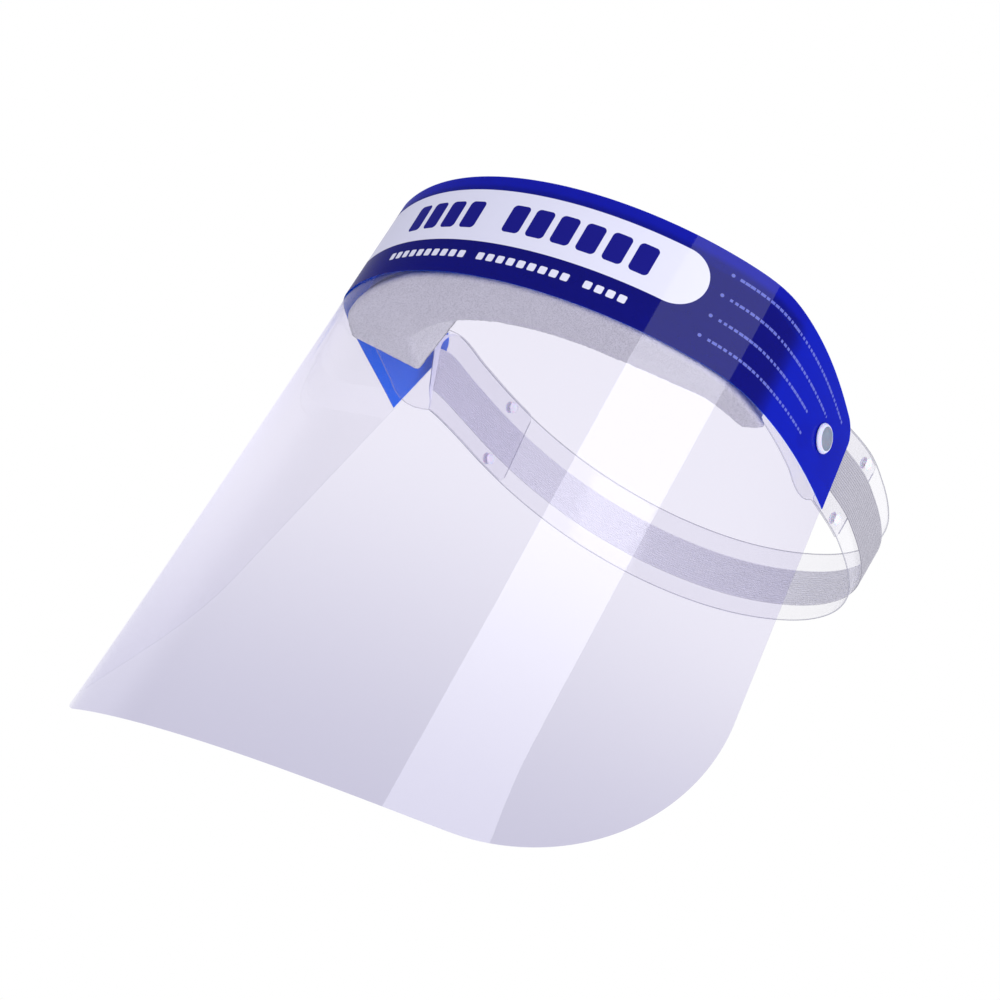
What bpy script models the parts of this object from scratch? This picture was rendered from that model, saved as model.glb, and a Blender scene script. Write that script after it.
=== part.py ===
"""Face shield: clear visor with a printed top strip, on a snapped-on headband.

Metres, +Z up. The wearer faces -Y, and +X is the wearer's left. The origin is the
middle of the head opening, level with the two snaps that the visor turns on.
"""
import math

import bmesh
import bpy
import numpy as np
from mathutils import Matrix, Vector

# Visor sheet, measured along the sheet
SHEET_WIDTH = 0.330
SHEET_HEIGHT = 0.2326
SHEET_THICK = 0.0003
TOP_CORNER = 0.007
BOTTOM_CORNER = 0.0782
HALF = SHEET_WIDTH / 2

# Bend of the sheet: curvature (1/m) at the middle, its growth towards the ends, and the
# share of it that is gone at the free ends, beyond the snaps
TOP_BEND = (9.226, -5.43, 1.0)
BOTTOM_BEND = (7.048, 5.395, 0.5)
EASE_FROM = 0.7
# Sharper bend of the top edge near the foam's ends: curvature added, place and reach
SIDE_BEND = (30.7, 0.0950, 0.009)
BOTTOM_FORWARD = 0.02065
TOP_DROOP = (0.0061, 0.0119)
BOTTOM_LIFT = (0.0142, 0.0262)
FRONT = Vector((0.0, -0.1257, 0.0331))

# Printed film on the outside of the sheet's top
FILM_HEIGHT = 0.0426
FILM_THICK = 0.0002
GAP = 0.0003

# Snaps
SNAP_FROM_MIDDLE = 0.1465
SNAP_BELOW_TOP = 0.0238
CAP_RADIUS = 0.0054
CAP_RIM = 0.0040
CAP_THICK = 0.0016
CAP_EDGE = 0.0007
CAP_RECESS = 0.0006
CAP_POST_TIP = 0.0009
POST_RADIUS = 0.0016
POST_HOLE = 0.0021
SOCKET_RADIUS = 0.0045
SOCKET_MOUTH = 0.0039
BALL_DEPTH = 0.0029
BALL_RADIUS = 0.0016
STUD_FACE = 0.0046
STUD_THICK = 0.0008
STUD_WELL = 0.0004
STUD_NECK = 0.0011
SNAP_CHAMFER = 0.0004
BACK_POST = 0.0012
BACK_HOLE = 0.0016
BACK_CAP_RADIUS = 0.0050
BACK_CAP_THICK = 0.0011
BACK_GAP = 0.0006

# Headband: two clear strips, one path
BAND_WIDTH = 0.0315
BAND_THICK = 0.0005
FRONT_GAP = 0.0036
REAR_POINTS = (
    (0.0846, -0.0205, 0.0018),
    (0.0845, 0.0015, 0.0022),
    (0.0824, 0.0215, 0.0021),
    (0.0784, 0.0404, 0.0017),
    (0.0722, 0.0572, 0.0011),
    (0.0633, 0.0716, 0.0004),
    (0.0516, 0.0832, -0.0004),
    (0.0367, 0.0918, -0.0014),
    (0.0185, 0.0967, -0.0024),
)
REAR_MIDDLE = (0.0, 0.0982, -0.0028)
REAR_LEAN = math.radians(-4.5)
LOOP_SWAY = 0.0016
SWAY_LENGTH = 0.022
REAR_TURN = 0.045
REAR_START = 0.014
STRAIGHT_AT_SNAP = 0.009
FRONT_END = {"left": 0.054, "right": 0.078}
STUD_PLACE = {"left": 0.044, "right": 0.066}
ELASTIC_WIDTH = 0.016
ELASTIC_THICK = 0.0008
ELASTIC_SET_IN = 0.002

# Band studs
STUD_HEAD = 0.0024
STUD_HEAD_THICK = 0.0007
STUD_SHANK = 0.0008
STUD_HOLE = 0.0011

# Foam pad and its tape
FOAM_REACH = 0.116
FOAM_HEIGHT = 0.037
FOAM_DEPTH = 0.0285
PINCH_FROM = 0.040
PINCH_DEPTH = 0.0163
PINCH_SHAPE = 1.8
TAPE_THICK = 0.0002
TAPE_HEIGHT = 0.026
TAPE_SET_IN = 0.006

# Step used for measuring directions along curves, and facets round turned parts
LOOK = 0.002
ROUND = 20
DRILL_LENGTH = 0.006


def clear_scene():
    for item in list(bpy.data.objects):
        bpy.data.objects.remove(item, do_unlink=True)


def material(name, colour, roughness, alpha=1.0, transmission=0.0):
    made = bpy.data.materials.new(name)
    made.use_nodes = True
    shader = made.node_tree.nodes["Principled BSDF"]
    shader.inputs["Base Color"].default_value = (*colour, 1.0)
    shader.inputs["Roughness"].default_value = roughness
    shader.inputs["Metallic"].default_value = 0.0
    shader.inputs["Alpha"].default_value = alpha
    shader.inputs["Transmission Weight"].default_value = transmission
    return made


def add_object(name, bm, finish):
    """Turn a bmesh into an object with its faces pointing out."""
    bmesh.ops.recalc_face_normals(bm, faces=bm.faces)
    mesh = bpy.data.meshes.new(name)
    bm.to_mesh(mesh)
    bm.free()
    mesh.materials.append(finish)
    mesh.shade_smooth()
    mesh.set_sharp_from_angle(angle=math.radians(35))
    made = bpy.data.objects.new(name, mesh)
    bpy.context.collection.objects.link(made)
    return made


# ---- the bent sheet as a surface ----------------------------------------------------

STATIONS = np.linspace(-HALF, HALF, 661)


def bent_edge(bend, side_bend=(0.0, 0.0, 1.0)):
    """Plan curve of one long edge, starting at the middle and bending back."""
    share = STATIONS / HALF
    ease = np.clip((abs(share) - EASE_FROM) / (1 - EASE_FROM), 0, 1)
    ease = 1 - bend[2] * ease**2 * (3 - 2 * ease)
    curvature = (bend[0] + bend[1] * share**2) * ease
    extra, place, reach = side_bend
    curvature += extra * np.exp(-(((abs(STATIONS) - place) / reach) ** 2))
    step = STATIONS[1] - STATIONS[0]

    def summed(values):
        total = np.concatenate([[0], np.cumsum((values[1:] + values[:-1]) / 2)]) * step
        return total - total[len(total) // 2]

    angle = summed(curvature)
    return np.stack([summed(np.cos(angle)), summed(np.sin(angle))], axis=1)


def sheet_edges():
    """Top and bottom edges of the sheet before its corners are rounded."""
    share = STATIONS / HALF
    top = bent_edge(TOP_BEND, SIDE_BEND)
    bottom = bent_edge(BOTTOM_BEND) - np.array([0.0, BOTTOM_FORWARD])
    reach = np.linalg.norm(bottom - top, axis=1)
    top_z = -TOP_DROOP[0] * share**2 - TOP_DROOP[1] * share**4
    fall = np.sqrt(SHEET_HEIGHT**2 - reach**2)
    lift = BOTTOM_LIFT[0] * share**2 + BOTTOM_LIFT[1] * share**4
    upper = np.column_stack([top, top_z]) + np.array(FRONT)
    lower = np.column_stack([bottom, top_z - fall + lift]) + np.array(FRONT)
    return upper, lower


UPPER_EDGE, LOWER_EDGE = sheet_edges()


def on_edge(edge, along):
    return Vector([float(np.interp(along, STATIONS, edge[:, k])) for k in range(3)])


def sheet_frame(along, down):
    """Point, unit tangent, unit ruling (downwards) and outward normal of the sheet."""
    share = down / SHEET_HEIGHT
    ahead = min(along + LOOK, HALF)
    behind = max(along - LOOK, -HALF)
    point = on_edge(UPPER_EDGE, along).lerp(on_edge(LOWER_EDGE, along), share)
    after = on_edge(UPPER_EDGE, ahead).lerp(on_edge(LOWER_EDGE, ahead), share)
    before = on_edge(UPPER_EDGE, behind).lerp(on_edge(LOWER_EDGE, behind), share)
    tangent = (after - before).normalized()
    ruling = (on_edge(LOWER_EDGE, along) - on_edge(UPPER_EDGE, along)).normalized()
    normal = ruling.cross(tangent).normalized()
    return point, tangent, ruling, normal


def sheet_point(along, down, outward):
    point, _, _, normal = sheet_frame(along, down)
    return point + normal * outward


def corner_drop(along, radius):
    """How far a rounded corner cuts into the sheet's edge at this station."""
    into = abs(along) - (HALF - radius)
    if into <= 0:
        return 0.0
    return radius - math.sqrt(max(radius**2 - into**2, 0.0))


def sheet_columns():
    """Stations across the sheet: closer at the side bends, by angle round the corners."""
    straight = HALF - BOTTOM_CORNER
    middle = list(np.linspace(0, straight, 15))
    turn = [straight + BOTTOM_CORNER * math.sin(math.radians(a)) for a in range(6, 91, 6)]
    bend = [SIDE_BEND[1] + k * SIDE_BEND[2] / 4 for k in range(-6, 7)]
    near = [s for s in middle + turn if bend[0] - 0.001 < s < bend[-1] + 0.001]
    half = sorted(set(middle + turn + bend) - set(near))
    return [-s for s in reversed(half[1:])] + half


def slab(name, finish, columns, rows, place, inner, outer):
    """Closed thin body over a grid of columns and rows, from one offset to another."""
    bm = bmesh.new()
    sides = []
    for offset in (inner, outer):
        grid = [[bm.verts.new(place(c, r, offset)) for r in rows] for c in columns]
        sides.append(grid)
    last_c, last_r = len(columns) - 1, len(rows) - 1
    for grid in sides:
        for i in range(last_c):
            for j in range(last_r):
                bm.faces.new((grid[i][j], grid[i + 1][j], grid[i + 1][j + 1], grid[i][j + 1]))
    rim = [(i, 0) for i in range(last_c)] + [(last_c, j) for j in range(last_r)]
    rim += [(i, last_r) for i in range(last_c, 0, -1)] + [(0, j) for j in range(last_r, 0, -1)]
    for (a, b), (c, d) in zip(rim, rim[1:] + rim[:1]):
        bm.faces.new((sides[0][a][b], sides[0][c][d], sides[1][c][d], sides[1][a][b]))
    return add_object(name, bm, finish)


def turned(name, finish, profile, place, segments=ROUND):
    """Body of revolution about local +Z from (radius, height) points, placed in the world."""
    bm = bmesh.new()
    rings = []
    for radius, height in profile:
        if radius < 1e-7:
            rings.append([bm.verts.new((0.0, 0.0, height))] * segments)
            continue
        turn = [2 * math.pi * i / segments for i in range(segments)]
        ring = [bm.verts.new((radius * math.cos(a), radius * math.sin(a), height)) for a in turn]
        rings.append(ring)
    closed = profile[0][0] > 1e-7
    pairs = list(zip(rings, rings[1:] + rings[:1])) if closed else list(zip(rings, rings[1:]))
    for first, second in pairs:
        for i in range(segments):
            j = (i + 1) % segments
            corners = []
            for vert in (first[i], first[j], second[j], second[i]):
                if vert not in corners:
                    corners.append(vert)
            if len(corners) > 2:
                bm.faces.new(corners)
    made = add_object(name, bm, finish)
    made.matrix_world = place
    return made


def drill(target, name, radius, length, place):
    """Cut a round hole through the target with a hidden cylinder."""
    profile = [(0, -length / 2), (radius, -length / 2), (radius, length / 2), (0, length / 2)]
    cutter = turned(name, target.data.materials[0], profile, place, 16)
    cutter.hide_render = True
    cutter.display_type = "WIRE"
    cut = target.modifiers.new(name, "BOOLEAN")
    cut.operation = "DIFFERENCE"
    cut.solver = "EXACT"
    cut.object = cutter


def looking(point, axis, upright=Vector((0, 0, 1))):
    """Placement at a point with local +Z along an axis."""
    z = axis.normalized()
    x = upright.cross(z).normalized()
    y = z.cross(x)
    return Matrix.Translation(point) @ Matrix((x, y, z)).transposed().to_4x4()


# ---- snaps --------------------------------------------------------------------------

SIDES = {"left": 1, "right": -1}


def snap_place(side):
    point, _, _, normal = sheet_frame(SIDES[side] * SNAP_FROM_MIDDLE, SNAP_BELOW_TOP)
    return looking(point, normal)


def hinge_point(side):
    return snap_place(side) @ Vector((0, 0, -BALL_DEPTH))


def snap_cap(side, finish):
    base = GAP + FILM_THICK + GAP
    top = base + CAP_THICK
    floor = top - CAP_RECESS
    profile = [
        (0, -CAP_POST_TIP), (POST_RADIUS, -CAP_POST_TIP), (POST_RADIUS, base), (CAP_RADIUS, base),
        (CAP_RADIUS, base + CAP_EDGE), (CAP_RADIUS - CAP_EDGE, top),
        (CAP_RIM, top), (CAP_RIM - CAP_RECESS / 2, floor), (0, floor),
    ]
    return turned(f"snap_cap_{side}", finish, profile, snap_place(side))


def snap_socket(side, finish):
    top, mouth = -SHEET_THICK - GAP, -SOCKET_MOUTH
    bore, lip = POST_RADIUS + GAP, BALL_RADIUS - GAP / 3
    profile = [
        (bore, top), (SOCKET_RADIUS, top), (SOCKET_RADIUS, mouth + SNAP_CHAMFER),
        (SOCKET_RADIUS - SNAP_CHAMFER, mouth), (lip, mouth), (bore, mouth + SNAP_CHAMFER),
    ]
    return turned(f"snap_socket_{side}", finish, profile, snap_place(side))


def snap_stud(side, finish):
    back = -STUD_FACE - STUD_THICK
    well = BACK_POST + GAP
    profile = [(0, back + STUD_WELL), (well, back + STUD_WELL), (well, back), (SOCKET_RADIUS, back)]
    profile += [(SOCKET_RADIUS, -STUD_FACE), (STUD_NECK, -STUD_FACE)]
    for degrees in (-43, -20, 0, 25, 50, 72):
        angle = math.radians(degrees)
        profile.append((BALL_RADIUS * math.cos(angle), -BALL_DEPTH + BALL_RADIUS * math.sin(angle)))
    profile.append((0, -BALL_DEPTH + BALL_RADIUS))
    return turned(f"snap_stud_{side}", finish, profile, snap_place(side))


def snap_back_cap(side, finish):
    base = -STUD_FACE - STUD_THICK - GAP - BAND_THICK - BACK_GAP
    tip = -STUD_FACE - STUD_THICK + STUD_WELL - GAP
    rim, shoulder = base - SNAP_CHAMFER, base - 2 * SNAP_CHAMFER
    profile = [
        (0, tip), (BACK_POST, tip), (BACK_POST, base), (BACK_CAP_RADIUS, base),
        (BACK_CAP_RADIUS, rim), (BACK_CAP_RADIUS - CAP_EDGE, shoulder), (0, base - BACK_CAP_THICK),
    ]
    return turned(f"snap_back_cap_{side}", finish, profile, snap_place(side))


# ---- headband path ------------------------------------------------------------------


def spline(points, per_span):
    """Catmull-Rom curve through the points, without the two end points."""
    out = []
    for a, b, c, d in zip(points, points[1:], points[2:], points[3:]):
        for k in range(per_span):
            t = k / per_span
            out.append(
                0.5 * (2 * b + (c - a) * t + (2 * a - 5 * b + 4 * c - d) * t**2
                       + (3 * b - a - 3 * c + d) * t**3)
            )
    out.append(points[-2])
    return out


def band_depth(along):
    """How far the front strip's middle lies behind the sheet's outer face."""
    at_front = SHEET_THICK + FRONT_GAP + BAND_THICK / 2
    at_snap = STUD_FACE + STUD_THICK + GAP + BAND_THICK / 2
    share = min(abs(along) / SNAP_FROM_MIDDLE, 1.0)
    return at_front + (at_snap - at_front) * share**2


def rear_points(side):
    """Points round the back; the soft loop sits a little wider on the left temple."""
    points = []
    for x, y, z in REAR_POINTS:
        sway = LOOP_SWAY * math.exp(-((y / SWAY_LENGTH) ** 2))
        points.append(Vector((x + side * sway, y, z)))
    points.append(Vector(REAR_MIDDLE))
    points.append(Vector((-REAR_POINTS[-1][0], *REAR_POINTS[-1][1:])))
    return points


def half_path(side):
    """One half of the headband, mirrored to +X: points, downward directions, distances."""
    steps = np.linspace(0, SNAP_FROM_MIDDLE, 60)
    front = [sheet_point(s, SNAP_BELOW_TOP, -band_depth(s)) for s in steps]
    down = [sheet_frame(s, SNAP_BELOW_TOP)[2] for s in steps]
    flow = (front[-1] - front[-2]).normalized()
    straight = front[-1] + flow * STRAIGHT_AT_SNAP
    points = front + spline([front[-5], front[-1], straight] + rear_points(side), 10)[1:]
    travelled = [0.0]
    for a, b in zip(points, points[1:]):
        travelled.append(travelled[-1] + (b - a).length)
    snap_at = travelled[len(front) - 1]
    at_snap = down[-1]
    for i in range(len(front), len(points)):
        flow = (points[min(i + 1, len(points) - 1)] - points[i - 1]).normalized()
        out = Vector((flow.y, -flow.x, 0)).normalized()
        final = out * math.sin(REAR_LEAN) + Vector((0, 0, -math.cos(REAR_LEAN)))
        share = min((travelled[i] - snap_at) / REAR_TURN, 1.0)
        share = share * share * (3 - 2 * share)
        down.append(at_snap.lerp(final, share).normalized())
    return {"points": points, "down": down, "at": travelled, "snap": snap_at, "back": travelled[-1]}


PATHS = {1: half_path(1), -1: half_path(-1)}
SNAP_AT = PATHS[1]["snap"]
BACK_AT = {side: PATHS[side]["back"] for side in PATHS}


def path_at(half, key, at):
    return Vector([float(np.interp(at, half["at"], [v[k] for v in half[key]])) for k in range(3)])


def band_frame(at):
    """Point, downward and outward directions of the path, signed from the front middle."""
    side = -1 if at < 0 else 1
    half = PATHS[side]
    reach = min(abs(at), half["back"])
    point = path_at(half, "points", reach)
    if reach < LOOK:
        flow = Vector((1, 0, 0))
    elif reach > half["back"] - LOOK:
        flow = Vector((-1, 0, 0))
    else:
        flow = path_at(half, "points", reach + LOOK) - path_at(half, "points", reach - LOOK)
        flow.normalize()
    down = path_at(half, "down", reach)
    down = (down - flow * down.dot(flow)).normalized()
    outward = down.cross(flow).normalized()
    if side < 0:
        point.x, down.x, outward.x = -point.x, -down.x, -outward.x
    return point, down, outward


def band_point(at, across, outward):
    """Point of the headband: along its path, down across it and out from it."""
    point, down, out = band_frame(at)
    return point + down * across + out * outward


def round_the_back(at):
    """Signed place on the path from a distance that runs on past the back middle."""
    if at > BACK_AT[1]:
        return at - BACK_AT[1] - BACK_AT[-1]
    return at


def strip(name, finish, start, end, width, inner, outer, count, rows=3):
    columns = list(np.linspace(start, end, count))
    across = list(np.linspace(-width / 2, width / 2, rows))

    def place(c, r, offset):
        return band_point(round_the_back(c), r, offset)

    return slab(name, finish, columns, across, place, inner, outer)


def front_band(finish):
    start = -(SNAP_AT + FRONT_END["right"])
    end = SNAP_AT + FRONT_END["left"]
    return strip("front_band", finish, start, end, BAND_WIDTH, -BAND_THICK / 2, BAND_THICK / 2, 120)


REAR_INNER = BAND_THICK / 2 + GAP
REAR_OUTER = REAR_INNER + BAND_THICK


def rear_band(finish):
    start = SNAP_AT + REAR_START
    end = BACK_AT[1] + BACK_AT[-1] - start
    return strip("rear_band", finish, start, end, BAND_WIDTH, REAR_INNER, REAR_OUTER, 110)


def elastic_strip(finish):
    start = SNAP_AT + REAR_START + ELASTIC_SET_IN
    end = BACK_AT[1] + BACK_AT[-1] - start
    inner = REAR_OUTER + GAP
    return strip("elastic_strip", finish, start, end, ELASTIC_WIDTH, inner, inner + ELASTIC_THICK, 110)


# ---- studs that join the two strips -------------------------------------------------


def stud_place(side, level):
    at = SIDES[side] * (SNAP_AT + STUD_PLACE[side])
    margin = (BAND_WIDTH + ELASTIC_WIDTH) / 4
    across = -margin if level == "upper" else margin
    point, down, outward = band_frame(at)
    return looking(point + down * across, outward)


def band_stud(side, level, finish):
    outer = REAR_OUTER + GAP
    inner = -BAND_THICK / 2 - GAP
    crown = STUD_HEAD - STUD_HEAD_THICK
    profile = [
        (0, inner - STUD_HEAD_THICK), (crown, inner - STUD_HEAD_THICK), (STUD_HEAD, inner),
        (STUD_SHANK, inner), (STUD_SHANK, outer), (STUD_HEAD, outer),
        (crown, outer + STUD_HEAD_THICK), (0, outer + STUD_HEAD_THICK),
    ]
    return turned(f"band_stud_{side}_{level}", finish, profile, stud_place(side, level), 12)


# ---- foam pad and tape --------------------------------------------------------------


def foam_inner(at):
    """Offset of the pad's inner face from the path; the pad is pinched thinner at its left end."""
    share = max(at - PINCH_FROM, 0.0) / (FOAM_REACH - PINCH_FROM)
    return band_depth(at) - FOAM_DEPTH + PINCH_DEPTH * share**PINCH_SHAPE


def foam_pad(finish):
    """Pad behind the front strip, bent to the forehead."""
    outer = -BAND_THICK / 2 - 3 * GAP - TAPE_THICK
    columns = list(np.linspace(-FOAM_REACH, FOAM_REACH, 34))
    across = [-FOAM_HEIGHT / 2, FOAM_HEIGHT / 2]

    def place(at, level, inside):
        return band_point(at, level, foam_inner(at) if inside else outer)

    return slab("foam_pad", finish, columns, across, place, 1, 0)


def foam_tape(finish):
    outer = -BAND_THICK / 2 - GAP
    reach = FOAM_REACH - TAPE_SET_IN
    columns = list(np.linspace(-reach, reach, 34))
    across = [-TAPE_HEIGHT / 2, TAPE_HEIGHT / 2]
    return slab("foam_tape", finish, columns, across, band_point, outer - TAPE_THICK, outer)


# ---- visor --------------------------------------------------------------------------


def visor_sheet(finish):
    rows = [0.0, 0.1, 0.3, 0.55, 0.8, 1.0]

    def place(along, share, outward):
        top = corner_drop(along, TOP_CORNER)
        bottom = SHEET_HEIGHT - corner_drop(along, BOTTOM_CORNER)
        return sheet_point(along, top + (bottom - top) * share, outward)

    return slab("visor_sheet", finish, sheet_columns(), rows, place, -SHEET_THICK, 0.0)


def printed_band(finish):
    def place(along, share, outward):
        top = corner_drop(along, TOP_CORNER)
        return sheet_point(along, top + (FILM_HEIGHT - top) * share, outward)

    return slab("printed_band", finish, sheet_columns(), [0.0, 0.5, 1.0], place, GAP, GAP + FILM_THICK)


def main():
    clear_scene()
    clear = material("clear_sheet", (0.93, 0.93, 0.97), 0.05, 0.3, 0.9)
    blue = material("blue_film", (0.01, 0.02, 0.35), 0.25)
    strap = material("clear_strap", (0.92, 0.92, 0.96), 0.12, 0.4, 0.8)
    woven = material("grey_elastic", (0.42, 0.41, 0.47), 0.85)
    foam = material("grey_foam", (0.50, 0.50, 0.53), 0.95)
    tape = material("white_tape", (0.85, 0.85, 0.85), 0.6)
    snap = material("snap_plastic", (0.72, 0.74, 0.86), 0.3)

    hinge = bpy.data.objects.new("visor_hinge", None)
    hinge.location = (0.0, hinge_point("left").y, hinge_point("left").z)
    bpy.context.collection.objects.link(hinge)

    sheet = visor_sheet(clear)
    film = printed_band(blue)
    front = front_band(strap)
    rear = rear_band(strap)
    elastic_strip(woven)
    foam_pad(foam)
    foam_tape(tape)
    turning = [sheet, film]
    for side in SIDES:
        place = snap_place(side)
        drill(sheet, f"sheet_hole_{side}", POST_HOLE, DRILL_LENGTH, place)
        drill(film, f"film_hole_{side}", POST_HOLE, DRILL_LENGTH, place)
        behind = place @ Matrix.Translation((0, 0, -band_depth(SNAP_FROM_MIDDLE)))
        drill(front, f"band_hole_{side}", BACK_HOLE, DRILL_LENGTH / 2, behind)
        turning.append(snap_cap(side, snap))
        turning.append(snap_socket(side, snap))
        snap_stud(side, snap)
        snap_back_cap(side, snap)
        for level in ("upper", "lower"):
            at = stud_place(side, level)
            drill(front, f"front_hole_{side}_{level}", STUD_HOLE, DRILL_LENGTH, at)
            drill(rear, f"rear_hole_{side}_{level}", STUD_HOLE, DRILL_LENGTH, at)
            band_stud(side, level, snap)
    for item in turning:
        item.parent = hinge
        item.matrix_parent_inverse = Matrix.Translation(-hinge.location)


main()
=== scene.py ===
"""Looks of the face shield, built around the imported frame.

Metres, +Z up. The wearer faces -Y, and +X is the wearer's left. Fine meshes stand for the
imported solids: the bent sheet and its print, the foam, the clear strips with their woven
elastic, and the snaps. The bent sheet and the headband's path follow the design's own formulas.
"""
import math

import bpy
import numpy as np
from mathutils import Matrix, Vector, noise

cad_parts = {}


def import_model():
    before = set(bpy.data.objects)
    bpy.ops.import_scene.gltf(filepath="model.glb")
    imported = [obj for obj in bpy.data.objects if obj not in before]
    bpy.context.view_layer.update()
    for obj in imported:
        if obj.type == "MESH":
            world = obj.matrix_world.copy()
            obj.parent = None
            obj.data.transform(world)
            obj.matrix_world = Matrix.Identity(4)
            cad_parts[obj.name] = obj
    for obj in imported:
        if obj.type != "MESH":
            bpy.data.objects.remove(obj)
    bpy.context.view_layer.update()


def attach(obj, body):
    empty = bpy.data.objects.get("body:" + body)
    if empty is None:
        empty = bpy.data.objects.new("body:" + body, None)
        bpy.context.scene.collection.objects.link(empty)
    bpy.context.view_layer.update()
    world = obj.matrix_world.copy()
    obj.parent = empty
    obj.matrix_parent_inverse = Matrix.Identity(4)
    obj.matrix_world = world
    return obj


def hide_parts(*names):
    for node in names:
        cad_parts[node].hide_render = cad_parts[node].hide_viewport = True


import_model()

MM = 0.001

# Bent sheet, as in the design
HALF = 0.165
SHEET_HEIGHT = 0.2326
SHEET_THICK = 0.0003
TOP_CORNER = 0.007
BOTTOM_CORNER = 0.0782
TOP_BEND = (9.226, -5.43, 1.0)
BOTTOM_BEND = (7.048, 5.395, 0.5)
EASE_FROM = 0.7
SIDE_BEND = (30.7, 0.0950, 0.009)
BOTTOM_FORWARD = 0.02065
TOP_DROOP = (0.0061, 0.0119)
BOTTOM_LIFT = (0.0142, 0.0262)
FRONT = np.array([0.0, -0.1257, 0.0331])
FILM_HEIGHT = 0.0426
FILM_THICK = 0.0002
GAP = 0.0003

# Snaps
SIDES = {"left": 1, "right": -1}
SNAP_FROM_MIDDLE = 0.1465
SNAP_BELOW_TOP = 0.0238
CAP_RADIUS = 0.0054
CAP_THICK = 0.0016
CAP_RECESS = 0.0006
POST_RADIUS = 0.0016
SOCKET_RADIUS = 0.0045
SOCKET_MOUTH = 0.0039
BALL_DEPTH = 0.0029
BALL_RADIUS = 0.0016
STUD_FACE = 0.0046
STUD_THICK = 0.0008
BACK_CAP_RADIUS = 0.0050
BACK_GAP = 0.0006
POST_END = -0.0009
CAP_WALL = 0.0007
RECESS_TOP = 0.0040
RECESS_FLOOR = 0.0037
# Reach of the recess floor's darker finish, which is painted shade
RECESS_SHADE_REACH = 0.0043
BALL_FROM, BALL_TO, BALL_STEP = -43, 85, 9

# Headband
BAND_WIDTH = 0.0315
BAND_THICK = 0.0005
FRONT_GAP = 0.0036
REAR_POINTS = (
    (0.0846, -0.0205, 0.0018),
    (0.0845, 0.0015, 0.0022),
    (0.0824, 0.0215, 0.0021),
    (0.0784, 0.0404, 0.0017),
    (0.0722, 0.0572, 0.0011),
    (0.0633, 0.0716, 0.0004),
    (0.0516, 0.0832, -0.0004),
    (0.0367, 0.0918, -0.0014),
    (0.0185, 0.0967, -0.0024),
)
REAR_MIDDLE = (0.0, 0.0982, -0.0028)
REAR_LEAN = math.radians(-4.5)
LOOP_SWAY = 0.0016
SWAY_LENGTH = 0.022
REAR_TURN = 0.045
REAR_START = 0.014
STRAIGHT_AT_SNAP = 0.009
# Width of the painted highlight along the rear strip's ends
END_HIGHLIGHT_WIDTH = 2.2
FRONT_END = {"left": 0.054, "right": 0.078}
STUD_PLACE = {"left": 0.044, "right": 0.066}
ELASTIC_WIDTH = 0.016
ELASTIC_THICK = 0.0008
ELASTIC_SET_IN = 0.002
ELASTIC_RIBS = 18
RIB_HEIGHT = 0.00011
PICK_LENGTH = 0.62
STRIP_CORNER = {"front": 0.0025, "rear": 0.009}
BAND_STUD = {"head": 0.0024, "crown": 0.0017, "shank": 0.0008, "thick": 0.0007}

# Foam and tape
FOAM_REACH = 0.116
FOAM_HEIGHT = 0.037
FOAM_DEPTH = 0.0285
PINCH_FROM = 0.040
PINCH_DEPTH = 0.0163
PINCH_SHAPE = 1.8
TAPE_THICK = 0.0002
TAPE_HEIGHT = 0.026
TAPE_SET_IN = 0.006
FOAM_ROUND = 0.0013
FOAM_BULGE = 0.0026
FOAM_SAG = 0.0050
SAG_FROM = 0.040
SAG_FULL = 0.090
FOAM_TAIL = 0.005
FOAM_SHORT = 0.0025
FOAM_SLANT = 0.018
SLANT_FROM = 0.085
FOAM_AROUND = 132
FOAM_STEP = 0.0009
FOAM_CELLS = (900, 0.00035)
FOAM_WAVES = (160, 0.0003)

# Print on the flat film, in millimetres from its middle and its top edge
PRINT_EDGE = 0.06
# Middle, half size and corner radius
PANEL = ((-11.0, 17.2), (82.5, 11.2), 11.19)
# Start, pitch, level, half size and corner radius of the blocks, then (first block, count) of each group
TITLE = (-57.0, 10.0, 17.2, (3.7, 5.8), 1.7, ((0, 4), (5, 6)))
UNDER_TITLE = (-57.0, 4.3, 34.4, (1.45, 1.5), 0.6, ((0, 10), (11, 9), (21, 4)))
# Level and length of each dashed line
SMALL_LINES = ((7.2, 76.0), (16.0, 64.0), (25.0, 52.0), (33.6, 54.0))
SMALL_START = 79.5
DASH_PITCH = 2.1
DASH_HALF = 0.5
DASH_CORNER = 0.3
MARK_BEFORE = 2.6
MARK_RADIUS = 0.65
# Painted light: where the blue grows lighter along the top edge and towards the ends, standing in for
# light coming through the film
TOP_PAINTED_LIGHT = (5.8, 2.8)
ENDS_PAINTED_LIGHT = (105.0, 115.0)

# Step along the sheet or the headband for finding directions
LOOK = 0.002

# Tints of the clear sheet, the places in millimetres between which they change, and the share of its
# gloss that is left behind the film
TINT_TOP = (0.950, 0.938, 0.995)
# Painted shade: the deeper tint at the bottom stands in for the dim surroundings the sheet mirrors there
TINT_BOTTOM_PAINTED_SHADE = (0.785, 0.774, 0.868)
TINT_RIGHT_END = (0.985, 0.983, 0.99)
PAINTED_SHADE_DEEPENS = (98.0, 252.0)
TINT_FADES = (-80.0, -120.0)
BONDED_GLOSS = 0.25

# Colours from low to high, and the painted shade between the elastic's yarns
ELASTIC_FACE = ((0.40, 0.39, 0.44), (0.46, 0.45, 0.50), (0.26, 0.25, 0.30))
# The inner face is a paler copy of the elastic: painted light
ELASTIC_BACK_PAINTED_LIGHT = ((0.81, 0.805, 0.81), (0.86, 0.855, 0.86), (0.68, 0.675, 0.685))
SNAP_COLOURS = ((0.60, 0.60, 0.80), (0.68, 0.68, 0.86))
# Darker colours of the recess floor: painted shade
RECESS_SHADE_COLOURS = ((0.20, 0.23, 0.30), (0.25, 0.28, 0.36))
STUD_COLOURS = ((0.70, 0.70, 0.76), (0.80, 0.80, 0.86))

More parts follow.
